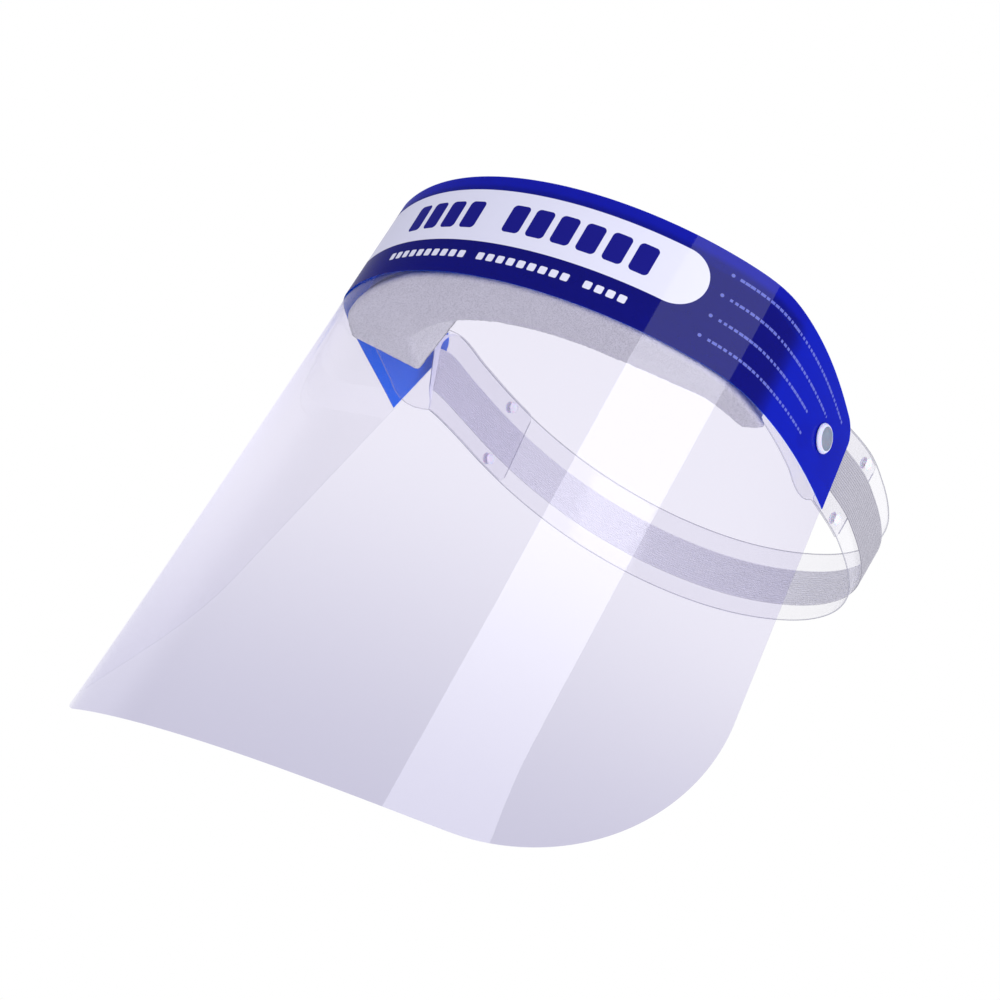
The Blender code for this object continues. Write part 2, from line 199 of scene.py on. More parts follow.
# Camera and light
CAMERA_AT = Vector((0.6455, -0.9353, -0.4071))
CAMERA_TURN = Vector((1.0744043, 0.6641590, -0.1466566))
LENS = 116.88
SENSOR = 36.0
SOFTBOX_AWAY = 1.3
SOFTBOX_TOWARDS = Vector((0.64575, -0.60217, 0.46947))
SOFTBOX_RIGHT = Vector((0.6820, 0.73135, 0.0))
SOFTBOX_UP = Vector((-0.34335, 0.32018, 0.88295))
SOFTBOX_OUTLINE = (
    (-0.24, 0.36), (-0.48, 0.05), (-0.60, -0.13), (-0.73, -0.28), (-0.83, -0.42), (-0.04, -0.42),
    (0.14, -0.262), (0.274, -0.182), (0.387, -0.096), (0.506, 0.004), (0.60, 0.10), (0.66, 0.36),
)
SOFTBOX_GLOW = 2.38
BRIGHT_SIDE = (-0.616, 0.788, 0.0)
BRIGHT_TURN = (0.30, 0.62)
BRIGHT_HEIGHT = (0.42, 0.30)
MIRRORED_DIM = (0.24, 0.24, 0.30)
MIRRORED_BRIGHT = (1.0, 1.0, 1.05)
FILL_AT = Vector((1.12, -0.30, -0.45))
FILL_POWER = 7.0
FILL_SIZE = 1.0
FLOOR_LEVEL = -1.3
FLOOR_RADIUS = 6.0


# ---- the bent sheet as a surface ----------------------------------------------------

STATIONS = np.linspace(-HALF, HALF, 661)


def unit(v):
    return v / np.maximum(np.linalg.norm(v, axis=-1, keepdims=True), 1e-12)


def bent_edge(bend, side_bend=(0.0, 0.0, 1.0)):
    """Plan curve of one long edge of the sheet, from its curvature."""
    share = STATIONS / HALF
    ease = np.clip((abs(share) - EASE_FROM) / (1 - EASE_FROM), 0, 1)
    ease = 1 - bend[2] * ease**2 * (3 - 2 * ease)
    curvature = (bend[0] + bend[1] * share**2) * ease
    extra, place, reach = side_bend
    curvature += extra * np.exp(-(((abs(STATIONS) - place) / reach) ** 2))
    step = STATIONS[1] - STATIONS[0]

    def summed(values):
        total = np.concatenate([[0], np.cumsum((values[1:] + values[:-1]) / 2)]) * step
        return total - total[len(total) // 2]

    angle = summed(curvature)
    return np.stack([summed(np.cos(angle)), summed(np.sin(angle))], axis=1)


def sheet_edges():
    share = STATIONS / HALF
    top = bent_edge(TOP_BEND, SIDE_BEND)
    bottom = bent_edge(BOTTOM_BEND) - np.array([0.0, BOTTOM_FORWARD])
    reach = np.linalg.norm(bottom - top, axis=1)
    top_z = -TOP_DROOP[0] * share**2 - TOP_DROOP[1] * share**4
    fall = np.sqrt(SHEET_HEIGHT**2 - reach**2)
    lift = BOTTOM_LIFT[0] * share**2 + BOTTOM_LIFT[1] * share**4
    upper = np.column_stack([top, top_z]) + FRONT
    lower = np.column_stack([bottom, top_z - fall + lift]) + FRONT
    return upper, lower


UPPER_EDGE, LOWER_EDGE = sheet_edges()


def on_edge(edge, along):
    return np.stack([np.interp(along, STATIONS, edge[:, k]) for k in range(3)], axis=-1)


def sheet_frame(along, down):
    """Points, rulings and outward normals of the sheet, for arrays of places."""
    along, down = np.broadcast_arrays(np.asarray(along, float), np.asarray(down, float))
    share = (down / SHEET_HEIGHT)[..., None]

    def at(where):
        return on_edge(UPPER_EDGE, where) * (1 - share) + on_edge(LOWER_EDGE, where) * share

    tangent = at(np.minimum(along + LOOK, HALF)) - at(np.maximum(along - LOOK, -HALF))
    ruling = unit(on_edge(LOWER_EDGE, along) - on_edge(UPPER_EDGE, along))
    return at(along), ruling, unit(np.cross(ruling, tangent))


def sheet_point(along, down, outward):
    point, _, normal = sheet_frame(along, down)
    return point + normal * np.asarray(outward)[..., None]


def corner_drop(along, radius):
    """How far a rounded corner cuts into the sheet's edge."""
    into = np.clip(np.abs(along) - (HALF - radius), 0, radius)
    return radius - np.sqrt(radius**2 - into**2)


# ---- the headband's path as a closed loop -------------------------------------------


def spline(points, per_span):
    out = []
    for a, b, c, d in zip(points, points[1:], points[2:], points[3:]):
        for t in np.arange(per_span) / per_span:
            out.append(0.5 * (2 * b + (c - a) * t + (2 * a - 5 * b + 4 * c - d) * t**2
                              + (3 * b - a - 3 * c + d) * t**3))
    out.append(points[-2])
    return out


def band_depth(along):
    """How far the front strip's middle lies behind the sheet's outer face."""
    at_front = SHEET_THICK + FRONT_GAP + BAND_THICK / 2
    at_snap = STUD_FACE + STUD_THICK + GAP + BAND_THICK / 2
    share = np.minimum(np.abs(along) / SNAP_FROM_MIDDLE, 1.0)
    return at_front + (at_snap - at_front) * share**2


def half_path(side):
    """Half of the headband, mirrored to +X: points, downward directions and distances."""
    steps = np.linspace(0, SNAP_FROM_MIDDLE, 60)
    front = list(sheet_point(steps, SNAP_BELOW_TOP, -band_depth(steps)))
    down = list(sheet_frame(steps, SNAP_BELOW_TOP)[1])
    straight = front[-1] + unit(front[-1] - front[-2]) * STRAIGHT_AT_SNAP
    rear = [np.array([x + side * LOOP_SWAY * math.exp(-((y / SWAY_LENGTH) ** 2)), y, z])
            for x, y, z in REAR_POINTS]
    rear += [np.array(REAR_MIDDLE), np.array(REAR_POINTS[-1]) * (-1, 1, 1)]
    points = np.array(front + spline([front[-5], front[-1], straight] + rear, 40)[1:])
    travelled = np.concatenate([[0], np.cumsum(np.linalg.norm(np.diff(points, axis=0), axis=1))])
    snap_at = travelled[len(front) - 1]
    for i in range(len(front), len(points)):
        flow = unit(points[min(i + 1, len(points) - 1)] - points[i - 1])
        out = unit(np.array([flow[1], -flow[0], 0]))
        final = out * math.sin(REAR_LEAN) + np.array([0, 0, -math.cos(REAR_LEAN)])
        share = min((travelled[i] - snap_at) / REAR_TURN, 1.0)
        share = share * share * (3 - 2 * share)
        down.append(unit(down[len(front) - 1] * (1 - share) + final * share))
    return points, np.array(down), travelled, snap_at


def closed_loop():
    """Both halves as one periodic path, signed from the front middle."""
    points, down, travelled, snap_at = half_path(1)
    other_points, other_down, other_travelled, _ = half_path(-1)
    mirror = np.array([-1, 1, 1])
    return {
        "at": np.concatenate([-other_travelled[:0:-1], travelled]),
        "points": np.concatenate([(other_points * mirror)[:0:-1], points]),
        "down": np.concatenate([(other_down * mirror)[:0:-1], down]),
        "length": travelled[-1] + other_travelled[-1],
        "snap": snap_at,
    }


LOOP = closed_loop()
SNAP_AT = LOOP["snap"]


def loop_at(key, at):
    return np.stack([np.interp(at, LOOP["at"], LOOP[key][:, k], period=LOOP["length"])
                     for k in range(3)], axis=-1)


def band_frame(at):
    """Points, downward and outward directions along the headband."""
    flow = unit(loop_at("points", at + LOOK) - loop_at("points", at - LOOK))
    down = loop_at("down", at)
    down = unit(down - flow * (down * flow).sum(-1, keepdims=True))
    return loop_at("points", at), down, unit(np.cross(down, flow))


def band_point(at, across, outward):
    at, across, outward = np.broadcast_arrays(np.asarray(at, float), across, outward)
    point, down, out = band_frame(at)
    return point + down * across[..., None] + out * outward[..., None]


# ---- mesh making --------------------------------------------------------------------


def add_mesh(name, points, faces, sharp=35):
    mesh = bpy.data.meshes.new(name)
    mesh.from_pydata([tuple(p) for p in points], [], faces)
    mesh.validate()
    mesh.shade_smooth()
    mesh.set_sharp_from_angle(angle=math.radians(sharp))
    made = bpy.data.objects.new(name, mesh)
    bpy.context.scene.collection.objects.link(made)
    return made


def note_place(made, places):
    """Keep each point's flat place on its sheet or strip, in millimetres, for the materials."""
    kept = made.data.attributes.new("flat_place", "FLOAT_VECTOR", "POINT")
    kept.data.foreach_set("vector", (np.asarray(places) / MM).astype(np.float32).ravel())


def shell(name, columns, rows, flat, surface, inner, outer, own_back=False):
    """Closed thin body over a grid. flat gives the place on the sheet, surface the point there.

    Faces of the rim get the second material, and with own_back the inner face gets the third.
    """
    first, second = flat(*np.meshgrid(columns, rows, indexing="ij"))
    sides = [surface(first, second, np.broadcast_to(offset, first.shape)) for offset in (outer, inner)]
    wide, deep = first.shape
    number = np.arange(wide * deep).reshape(wide, deep)
    skin = np.stack([number[:-1, :-1], number[:-1, 1:], number[1:, 1:], number[1:, :-1]], -1)
    skin = skin.reshape(-1, 4)
    back = skin[:, ::-1] + wide * deep
    rim = np.concatenate([number[:-1, 0], number[-1, :-1], number[:0:-1, -1], number[0, :0:-1]])
    after = np.roll(rim, -1)
    edge = np.stack([rim, after, after + wide * deep, rim + wide * deep], -1)
    faces = np.concatenate([skin, back, edge]).tolist()
    made = add_mesh(name, np.concatenate([s.reshape(-1, 3) for s in sides]), faces)
    places = np.stack([first, second, np.zeros_like(first)], -1).reshape(-1, 3)
    note_place(made, np.concatenate([places, places]))
    kinds = np.zeros(len(faces), np.int32)
    kinds[2 * len(skin):] = 1
    if own_back:
        kinds[len(skin):2 * len(skin)] = 2
    made.data.polygons.foreach_set("material_index", kinds)
    return made


def turned(name, profile, place, segments=64):
    """Body of revolution about local +Z from (radius, height) points, placed in the world."""
    points, rings = [], []
    for radius, height in profile:
        if radius < 1e-7:
            rings.append([len(points)] * segments)
            points.append((0.0, 0.0, height))
            continue
        rings.append(list(range(len(points), len(points) + segments)))
        for i in range(segments):
            turn = 2 * math.pi * i / segments
            points.append((radius * math.cos(turn), radius * math.sin(turn), height))
    faces = []
    closed = profile[0][0] > 1e-7
    for first, second in zip(rings, rings[1:] + (rings[:1] if closed else [])):
        for i in range(segments):
            j = (i + 1) % segments
            corners = list(dict.fromkeys((first[i], first[j], second[j], second[i])))
            if len(corners) > 2:
                faces.append(corners)
    made = add_mesh(name, points, faces)
    made.data.transform(place)
    return made


def rounded(profile, radius, steps=4):
    """The profile with each corner that isn't on the axis rounded off by an arc."""
    out = []
    count = len(profile)
    for i, corner in enumerate(profile):
        here = np.array(corner, float)
        if here[0] < 1e-7:
            out.append(tuple(here))
            continue
        before = np.array(profile[i - 1], float) - here
        after = np.array(profile[(i + 1) % count], float) - here
        reach = min(radius, np.linalg.norm(before) * 0.45, np.linalg.norm(after) * 0.45)
        start, end = here + unit(before) * reach, here + unit(after) * reach
        for t in np.linspace(0, 1, steps):
            out.append(tuple(start * (1 - t) ** 2 + here * 2 * t * (1 - t) + end * t**2))
    return out


def looking(point, axis):
    z = Vector(axis).normalized()
    x = Vector((0, 0, 1)).cross(z).normalized()
    return Matrix.Translation(Vector(point)) @ Matrix((x, z.cross(x), z)).transposed().to_4x4()


# ---- materials ----------------------------------------------------------------------


class Nodes:
    """Short calls for building a node tree."""

    def __init__(self, tree):
        self.tree = tree
        tree.nodes.clear()

    def add(self, kind, settings=None, **inputs):
        node = self.tree.nodes.new(kind)
        for key, value in (settings or {}).items():
            setattr(node, key, value)
        for key, value in inputs.items():
            socket = node.inputs[int(key[1:])] if key[1:].isdigit() else node.inputs[key.replace("_", " ")]
            if isinstance(value, bpy.types.NodeSocket):
                self.tree.links.new(value, socket)
            else:
                socket.default_value = value
        return node

    def math(self, operation, a, b=0.0, c=0.0, clamp=False):
        settings = {"operation": operation, "use_clamp": clamp}
        return self.add("ShaderNodeMath", settings, i0=a, i1=b, i2=c).outputs[0]

    def mix(self, share, a, b):
        """Mix of two colours."""
        node = self.add("ShaderNodeMix", {"data_type": "RGBA"})
        for socket, value in ((node.inputs[0], share), (node.inputs[6], a), (node.inputs[7], b)):
            if isinstance(value, bpy.types.NodeSocket):
                self.tree.links.new(value, socket)
            else:
                socket.default_value = value if socket.type == "VALUE" else (*value, 1.0)
        return node.outputs[2]

    def flat_place(self):
        """Sockets of the flat place: along and down or across, in millimetres."""
        node = self.add("ShaderNodeAttribute", {"attribute_name": "flat_place"})
        parts = self.add("ShaderNodeSeparateXYZ", Vector=node.outputs["Vector"])
        return parts.outputs[0], parts.outputs[1], node.outputs["Vector"]

    def object_place(self, scale):
        """Position on the object, scaled so that one unit is 1/scale metres."""
        node = self.add("ShaderNodeTexCoord")
        return self.add("ShaderNodeVectorMath", {"operation": "SCALE"},
                        i0=node.outputs["Object"], Scale=scale).outputs[0]

    def noise(self, vector, scale, detail=2.0, rough=0.5):
        node = self.add("ShaderNodeTexNoise", Vector=vector, Scale=scale, Detail=detail, Roughness=rough)
        return node.outputs[0]

    def bump(self, height, strength, distance):
        return self.add("ShaderNodeBump", Height=height, Strength=strength, Distance=distance).outputs[0]

    def shine(self, shader, roughness, normal=None, least=0.04, most=1.0, kept=1.0):
        """Clear gloss over a shader: Schlick's rise towards grazing, the same from both sides.

        kept is the share of the gloss that is left, as where another sheet is bonded on.
        """
        facing = self.add("ShaderNodeLayerWeight", Blend=0.5).outputs["Facing"]
        share = self.math("MULTIPLY_ADD", self.math("POWER", facing, 5.0), most - least, least)
        share = self.math("MULTIPLY", share, kept)
        gloss = self.add("ShaderNodeBsdfGlossy", Color=(1, 1, 1, 1), Roughness=roughness)
        if normal is not None:
            self.tree.links.new(normal, gloss.inputs["Normal"])
        return self.add("ShaderNodeMixShader", i0=share, i1=shader, i2=gloss.outputs[0]).outputs[0]

    def output(self, shader):
        self.add("ShaderNodeOutputMaterial", Surface=shader)


def new_material(name):
    made = bpy.data.materials.new(name)
    made.use_nodes = True
    return made, Nodes(made.node_tree)


def smooth_step(n, value, low, high):
    node = n.add("ShaderNodeMapRange", {"interpolation_type": "SMOOTHSTEP"}, Value=value)
    node.inputs["From Min"].default_value = low
    node.inputs["From Max"].default_value = high
    return node.outputs[0]


def box_mask(n, u, v, centre, half, corner):
    """1 inside a rounded box on the flat sheet, in millimetres."""
    away = []
    for value, middle, reach in ((u, centre[0], half[0]), (v, centre[1], half[1])):
        off = n.math("ABSOLUTE", n.math("SUBTRACT", value, middle))
        away.append(n.math("MAXIMUM", n.math("SUBTRACT", off, reach - corner), 0.0))
    length = n.math("SQRT", n.math("ADD", n.math("POWER", away[0], 2.0), n.math("POWER", away[1], 2.0)))
    return smooth_step(n, length, corner + PRINT_EDGE, corner - PRINT_EDGE)


def block_row(n, u, v, start, pitch, level, half, corner, groups):
    """A row of rounded blocks. Each group gives its first block's number and its count."""
    cell = n.math("DIVIDE", n.math("SUBTRACT", u, start), pitch)
    within = n.math("MULTIPLY", n.math("SUBTRACT", n.math("FRACT", cell), 0.5), pitch)
    blocks = box_mask(n, within, v, (0.0, level), half, corner)
    whole = n.math("FLOOR", cell)
    kept = None
    for first, count in groups:
        inside = n.math("COMPARE", whole, first + (count - 1) / 2, count / 2)
        kept = inside if kept is None else n.math("MAXIMUM", kept, inside)
    return n.math("MULTIPLY", blocks, kept)


def small_print(n, u, v, start, level, length):
    """A thin row of uneven dashes with a round mark in front, such as a bulleted line."""
    cell = n.math("DIVIDE", n.math("SUBTRACT", u, start), DASH_PITCH)
    chance = n.add("ShaderNodeTexWhiteNoise", {"noise_dimensions": "2D"},
                   Vector=n.add("ShaderNodeCombineXYZ", X=n.math("FLOOR", cell), Y=level).outputs[0])
    reach = n.math("MULTIPLY_ADD", chance.outputs[0], 0.24, 0.24)
    off = n.math("ABSOLUTE", n.math("SUBTRACT", n.math("FRACT", cell), 0.5))
    dash = n.math("LESS_THAN", off, reach)
    line = box_mask(n, u, v, (start + length / 2, level), (length / 2, DASH_HALF), DASH_CORNER)
    mark = box_mask(n, u, v, (start - MARK_BEFORE, level), (MARK_RADIUS, MARK_RADIUS), MARK_RADIUS - 0.01)
    return n.math("MAXIMUM", n.math("MULTIPLY", dash, line), mark)


def clear_sheet():
    """Thin clear plastic with a faint violet cast, deeper at the bottom as painted shade, and fading at
    the right end.

    Behind the film, which is bonded on, less of its gloss is left.
    """
    made, n = new_material("clear_sheet")
    along, down, place = n.flat_place()
    # Painted shade: the cast deepens towards the bottom, standing in for the dim surroundings mirrored
    # there
    tint = n.mix(smooth_step(n, down, *PAINTED_SHADE_DEEPENS), TINT_TOP, TINT_BOTTOM_PAINTED_SHADE)
    tint = n.mix(smooth_step(n, along, *TINT_FADES), tint, TINT_RIGHT_END)
    through = n.add("ShaderNodeBsdfTransparent", Color=tint)
    haze = n.noise(place, 0.03, 3.0)
    dull = n.add("ShaderNodeBsdfDiffuse", Color=(0.80, 0.79, 0.90, 1))
    share = n.math("MULTIPLY_ADD", haze, 0.009, 0.002)
    body = n.add("ShaderNodeMixShader", i0=share, i1=through.outputs[0], i2=dull.outputs[0])
    film_end = FILM_HEIGHT / MM
    free = smooth_step(n, down, film_end - 0.2, film_end)
    kept = n.math("MULTIPLY_ADD", free, 1 - BONDED_GLOSS, BONDED_GLOSS)
    n.output(n.shine(body.outputs[0], 0.012, most=0.45, kept=kept))
    return made


def cut_edge(name, solid_share):
    """The sheets' cut rims, which catch the light; their grey is painted light and shade, as a clear cut
    edge shows.
    """
    made, n = new_material(name)
    grain = n.noise(n.object_place(1000.0), 0.5)
    # Painted light and shade: grey on the rims stands in for how light bends and reflects in a clear cut
    # edge
    colour = n.mix(grain, (0.26, 0.26, 0.32), (0.50, 0.49, 0.58))
    solid = n.add("ShaderNodeBsdfPrincipled", Base_Color=colour, Roughness=0.35)
    through = n.add("ShaderNodeBsdfTransparent", Color=(0.95, 0.95, 0.98, 1))
    edge = n.add("ShaderNodeMixShader", i0=solid_share, i1=through.outputs[0], i2=solid.outputs[0])
    n.output(edge.outputs[0])
    return made


def clear_strap(name, edge_shade_share, ends=None):
    """Clear strip with thin grey edge lines of painted shade. With ends given, it has a pale painted
    highlight along them.
    """
    made, n = new_material(name)
    along, across, place = n.flat_place()
    through = n.add("ShaderNodeBsdfTransparent", Color=(0.975, 0.972, 0.985, 1))
    dull = n.add("ShaderNodeBsdfDiffuse", Color=(0.86, 0.85, 0.94, 1))
    cloud = n.noise(place, 0.15, 3.0)
    share = n.math("MULTIPLY_ADD", cloud, 0.02, 0.004)
    body = n.add("ShaderNodeMixShader", i0=share, i1=through.outputs[0], i2=dull.outputs[0])
    half = BAND_WIDTH / MM / 2
    # Painted shade: thin grey lines along the long edges stand in for the dark edges a clear strip shows
    cut = smooth_step(n, n.math("ABSOLUTE", across), half - 0.45, half - 0.1)
    line = n.add("ShaderNodeBsdfDiffuse", Color=(0.30, 0.30, 0.37, 1))
    body = n.add("ShaderNodeMixShader", i0=n.math("MULTIPLY", cut, edge_shade_share), i1=body.outputs[0],
                 i2=line.outputs[0])
    if ends:
        # Painted highlight: a pale band along the strip's ends stands in for the bright curve of its clear
        # margin
        middle, reach = (ends[0] + ends[1]) / 2 / MM, (ends[1] - ends[0]) / 2 / MM - END_HIGHLIGHT_WIDTH
        end_highlight = n.math("SUBTRACT", 1.0, box_mask(n, along, across, (middle, 0.0), (reach, half + 1.0), 9.0))
        painted_highlight = n.add("ShaderNodeBsdfDiffuse", Color=(0.93, 0.93, 0.97, 1))
        body = n.add("ShaderNodeMixShader", i0=n.math("MULTIPLY", end_highlight, 0.75), i1=body.outputs[0],
                     i2=painted_highlight.outputs[0])
    wave = n.bump(n.noise(place, 0.06, 2.0), 0.5, 0.002)
    n.output(n.shine(body.outputs[0], 0.06, wave, least=0.025, most=0.3))
    return made


def film_print(n, u, v):
    """Shares of pale print, of small print and of dark title blocks over the blue."""
    panel = box_mask(n, u, v, *PANEL)
    title = block_row(n, u, v, *TITLE)
    under = block_row(n, u, v, *UNDER_TITLE)
    small = None
    for level, length in SMALL_LINES:
        line = small_print(n, u, v, SMALL_START, level, length)
        small = line if small is None else n.math("MAXIMUM", small, line)
    pale = n.math("MAXIMUM", panel, under)
    return pale, small, n.math("MULTIPLY", title, panel)


def printed_film():
    """Blue ink with a pale panel, blocks and small marks, under clear gloss.

    The blue is navy in the middle, lighter along the top edge and cobalt towards the ends; both are
    painted light, standing in for light that comes through the film where no foam backs it.
    """
    made, n = new_material("printed_film")
    u, v, place = n.flat_place()
    pale_share, small, blocks = film_print(n, u, v)
    speck = n.noise(place, 0.3, 2.0)
    blue = n.mix(speck, (0.0030, 0.0035, 0.120), (0.0040, 0.0045, 0.138))
    # Painted light along the top edge and towards the ends, for light that comes through the film
    blue = n.mix(smooth_step(n, v, *TOP_PAINTED_LIGHT), blue, (0.005, 0.007, 0.28))
    ends = smooth_step(n, n.math("ABSOLUTE", u), *ENDS_PAINTED_LIGHT)
    blue = n.mix(ends, blue, (0.004, 0.011, 0.37))
    ink = n.add("ShaderNodeBsdfDiffuse", Color=blue)
    through = n.add("ShaderNodeBsdfTransparent", Color=(0.02, 0.10, 0.85, 1))
    blue_body = n.add("ShaderNodeMixShader", i0=0.25, i1=ink.outputs[0], i2=through.outputs[0])
    pale = n.add("ShaderNodeBsdfDiffuse", Color=n.mix(small, (0.66, 0.66, 0.79), (0.11, 0.135, 0.50)))
    dark = n.add("ShaderNodeBsdfDiffuse", Color=(0.007, 0.007, 0.19, 1))
    printed = n.add("ShaderNodeMixShader", i0=n.math("MAXIMUM", pale_share, small),
                    i1=blue_body.outputs[0], i2=pale.outputs[0])
    printed = n.add("ShaderNodeMixShader", i0=blocks, i1=printed.outputs[0], i2=dark.outputs[0])
    n.output(n.shine(printed.outputs[0], 0.03, least=0.019, most=0.35))
    return made


def film_back():
    """The film from inside: bright blue, partly painted light standing in for light that comes through the
    film, with the pale panel showing through.
    """
    made, n = new_material("film_back")
    u, v, place = n.flat_place()
    pale_share, _, _ = film_print(n, u, v)
    cloud = n.noise(place, 0.1, 2.0)
    # The ink's blue, brightened as painted light for light coming through the film
    blue = n.mix(cloud, (0.005, 0.18, 0.96), (0.007, 0.21, 1.0))
    colour = n.mix(n.math("MULTIPLY", pale_share, 0.8), blue, (0.62, 0.64, 0.86))
    solid = n.add("ShaderNodeBsdfDiffuse", Color=colour)
    through = n.add("ShaderNodeBsdfTransparent", Color=(0.05, 0.34, 1.0, 1))
    body = n.add("ShaderNodeMixShader", i0=0.3, i1=solid.outputs[0], i2=through.outputs[0])
    n.output(body.outputs[0])
    return made


def grey_foam():
    """Open-cell foam: pores of a few tenths of a millimetre, darker inside as painted shade."""
    made, n = new_material("grey_foam")
    place = n.object_place(1000.0)
    pores = n.add("ShaderNodeTexVoronoi", Vector=place, Scale=1.5)
    fine = n.add("ShaderNodeTexVoronoi", Vector=place, Scale=3.2)
    cells = n.math("MULTIPLY", pores.outputs["Distance"], fine.outputs["Distance"])
    pore_mask_and_shade = smooth_step(n, cells, 0.02, 0.30)
    cloud = n.noise(place, 0.06, 3.0)
    base = n.mix(cloud, (0.68, 0.68, 0.66), (0.76, 0.76, 0.735))
    # Painted shade inside the pores; the same mask also gives the bumps
    colour = n.mix(pore_mask_and_shade, (0.50, 0.50, 0.50), base)
    height = n.math("ADD", n.math("MULTIPLY", pore_mask_and_shade, 0.7), n.noise(place, 1.2, 3.0))
    shader = n.add("ShaderNodeBsdfPrincipled", Base_Color=colour, Roughness=0.95)
    shader.inputs["Specular IOR Level"].default_value = 0.15
    n.tree.links.new(n.bump(height, 0.6, 0.0004), shader.inputs["Normal"])
    n.output(shader.outputs[0])
    return made


def grey_elastic(name, low, high, gap_shade):
    """Woven elastic: ribs along the tape, with crosswise picks that dip between them."""
    made, n = new_material(name)
    along, across, place = n.flat_place()
    rib = n.math("MULTIPLY", across, ELASTIC_RIBS / (ELASTIC_WIDTH / MM))
    turn = n.math("MULTIPLY", n.math("FLOOR", rib), 0.5)
    pick = n.math("ADD", n.math("MULTIPLY", along, 1 / PICK_LENGTH), turn)
    off = n.math("ABSOLUTE", n.math("SUBTRACT", n.math("FRACT", pick), 0.5))
    yarn = smooth_step(n, off, 0.5, 0.18)
    groove = n.math("ABSOLUTE", n.math("SUBTRACT", n.math("FRACT", rib), 0.5))
    ridge = smooth_step(n, groove, 0.5, 0.25)
    knit = n.math("MULTIPLY", yarn, ridge)
    cloud = n.noise(place, 0.2, 3.0)
    fluff = n.noise(place, 9.0, 2.0)
    base = n.mix(cloud, low, high)
    base = n.mix(n.math("MULTIPLY", fluff, 0.25), base, (0.80, 0.79, 0.84))
    # Painted shade between the yarns
    colour = n.mix(knit, gap_shade, base)
    height = n.math("ADD", knit, n.math("MULTIPLY", fluff, 0.3))
    shader = n.add("ShaderNodeBsdfPrincipled", Base_Color=colour, Roughness=0.85)
    shader.inputs["Sheen Weight"].default_value = 0.25
    shader.inputs["Sheen Roughness"].default_value = 0.5
    n.tree.links.new(n.bump(height, 0.5, 0.0002), shader.inputs["Normal"])
    n.output(shader.outputs[0])
    return made


def white_tape():
    made, n = new_material("white_tape")
    _, _, place = n.flat_place()
    paper = n.noise(place, 1.5, 4.0)
    shader = n.add("ShaderNodeBsdfPrincipled", Roughness=0.7,
                   Base_Color=n.mix(paper, (0.74, 0.74, 0.76), (0.86, 0.86, 0.88)))
    n.output(shader.outputs[0])
    return made


def snap_plastic(name, low, high, roughness):
    """Moulded plastic with faint flow marks and light scuffs."""
    made, n = new_material(name)
    place = n.object_place(1000.0)
    flow = n.noise(place, 0.4, 3.0)
    scuff = n.noise(place, 6.0, 4.0)
    rough = n.math("MULTIPLY_ADD", scuff, 0.18, roughness - 0.09)
    shader = n.add("ShaderNodeBsdfPrincipled", Base_Color=n.mix(flow, low, high), Roughness=rough)
    shader.inputs["Subsurface Weight"].default_value = 0.3
    shader.inputs["Subsurface Scale"].default_value = 0.001
    n.tree.links.new(n.bump(scuff, 0.1, 0.00005), shader.inputs["Normal"])
    n.output(shader.outputs[0])
    return made


# ---- visor --------------------------------------------------------------------------


def sheet_columns():
    """Even in the middle, by angle round the bottom and the top corners."""
    straight = HALF - BOTTOM_CORNER
    middle = np.linspace(-straight, straight, 140)
    turn = np.radians(np.arange(1.0, 90.1, 1.5))
    ends = np.concatenate([straight + BOTTOM_CORNER * np.sin(turn),
                           HALF - TOP_CORNER + TOP_CORNER * np.sin(np.radians(np.arange(6, 90, 6)))])
    ends = np.unique(np.round(ends, 6))
    return np.concatenate([-ends[::-1], middle, ends])


def visor_sheet(finish, rim):
    def flat(along, share):
        top = corner_drop(along, TOP_CORNER)
        bottom = SHEET_HEIGHT - corner_drop(along, BOTTOM_CORNER)
        return along, top + (bottom - top) * share

    made = shell("clear_visor", sheet_columns(), np.linspace(0, 1, 64), flat, sheet_point,
                 -SHEET_THICK, 0.0)
    finish_piece(made, "visor", "clear_sheet", [finish, rim], "visor_sheet")


def printed_band(finish, rim, back):
    def flat(along, share):
        top = corner_drop(along, TOP_CORNER)
        return along, top + (FILM_HEIGHT - top) * share

    made = shell("print_film", sheet_columns(), np.linspace(0, 1, 16), flat, sheet_point,
                 GAP, GAP + FILM_THICK, own_back=True)
    finish_piece(made, "visor", "blue_film", [finish, rim, back], "printed_band")


def finish_piece(made, body, slot, finishes, *nodes):
    for finish in finishes:
        made.data.materials.append(finish)
    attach(made, body)
    if nodes:
        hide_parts(*nodes)


# ---- headband -----------------------------------------------------------------------


def eased_rows(width, thick, count):
    """Places across a strip, close together where its long edges are rounded."""
    edge = thick / 2 * (1 - np.cos(np.radians(np.arange(0, 90, 22.5))))
    inner = np.linspace(-width / 2 + thick / 2, width / 2 - thick / 2, count)
    return np.concatenate([-width / 2 + edge, inner, (width / 2 - edge)[::-1]])


def edge_share(across, width, thick):
    """Share of the full thickness left near a rounded long edge."""
    into = np.clip((np.abs(across) - (width / 2 - thick / 2)) / (thick / 2), 0, 0.99)
    return np.sqrt(1 - into**2)


def strip(name, start, end, width, middle, thick, spacing, rows, corner):
    """A strip along the headband's path with rounded edges and corners."""
    columns = np.arange(start, end, spacing)
    columns = np.concatenate([columns, [end]])
    across = eased_rows(width, thick, rows)

    def flat(at, level):
        into = np.clip(np.maximum(start + corner - at, at - end + corner), 0, corner)
        drop = corner - np.sqrt(corner**2 - into**2)
        return at, level * (1 - 2 * drop / width)

    level = np.broadcast_to(across[None, :], (len(columns), len(across)))
    swell = thick / 2 * edge_share(level, width, thick)
    return shell(name, columns, across, flat, band_point, middle - swell, middle + swell)


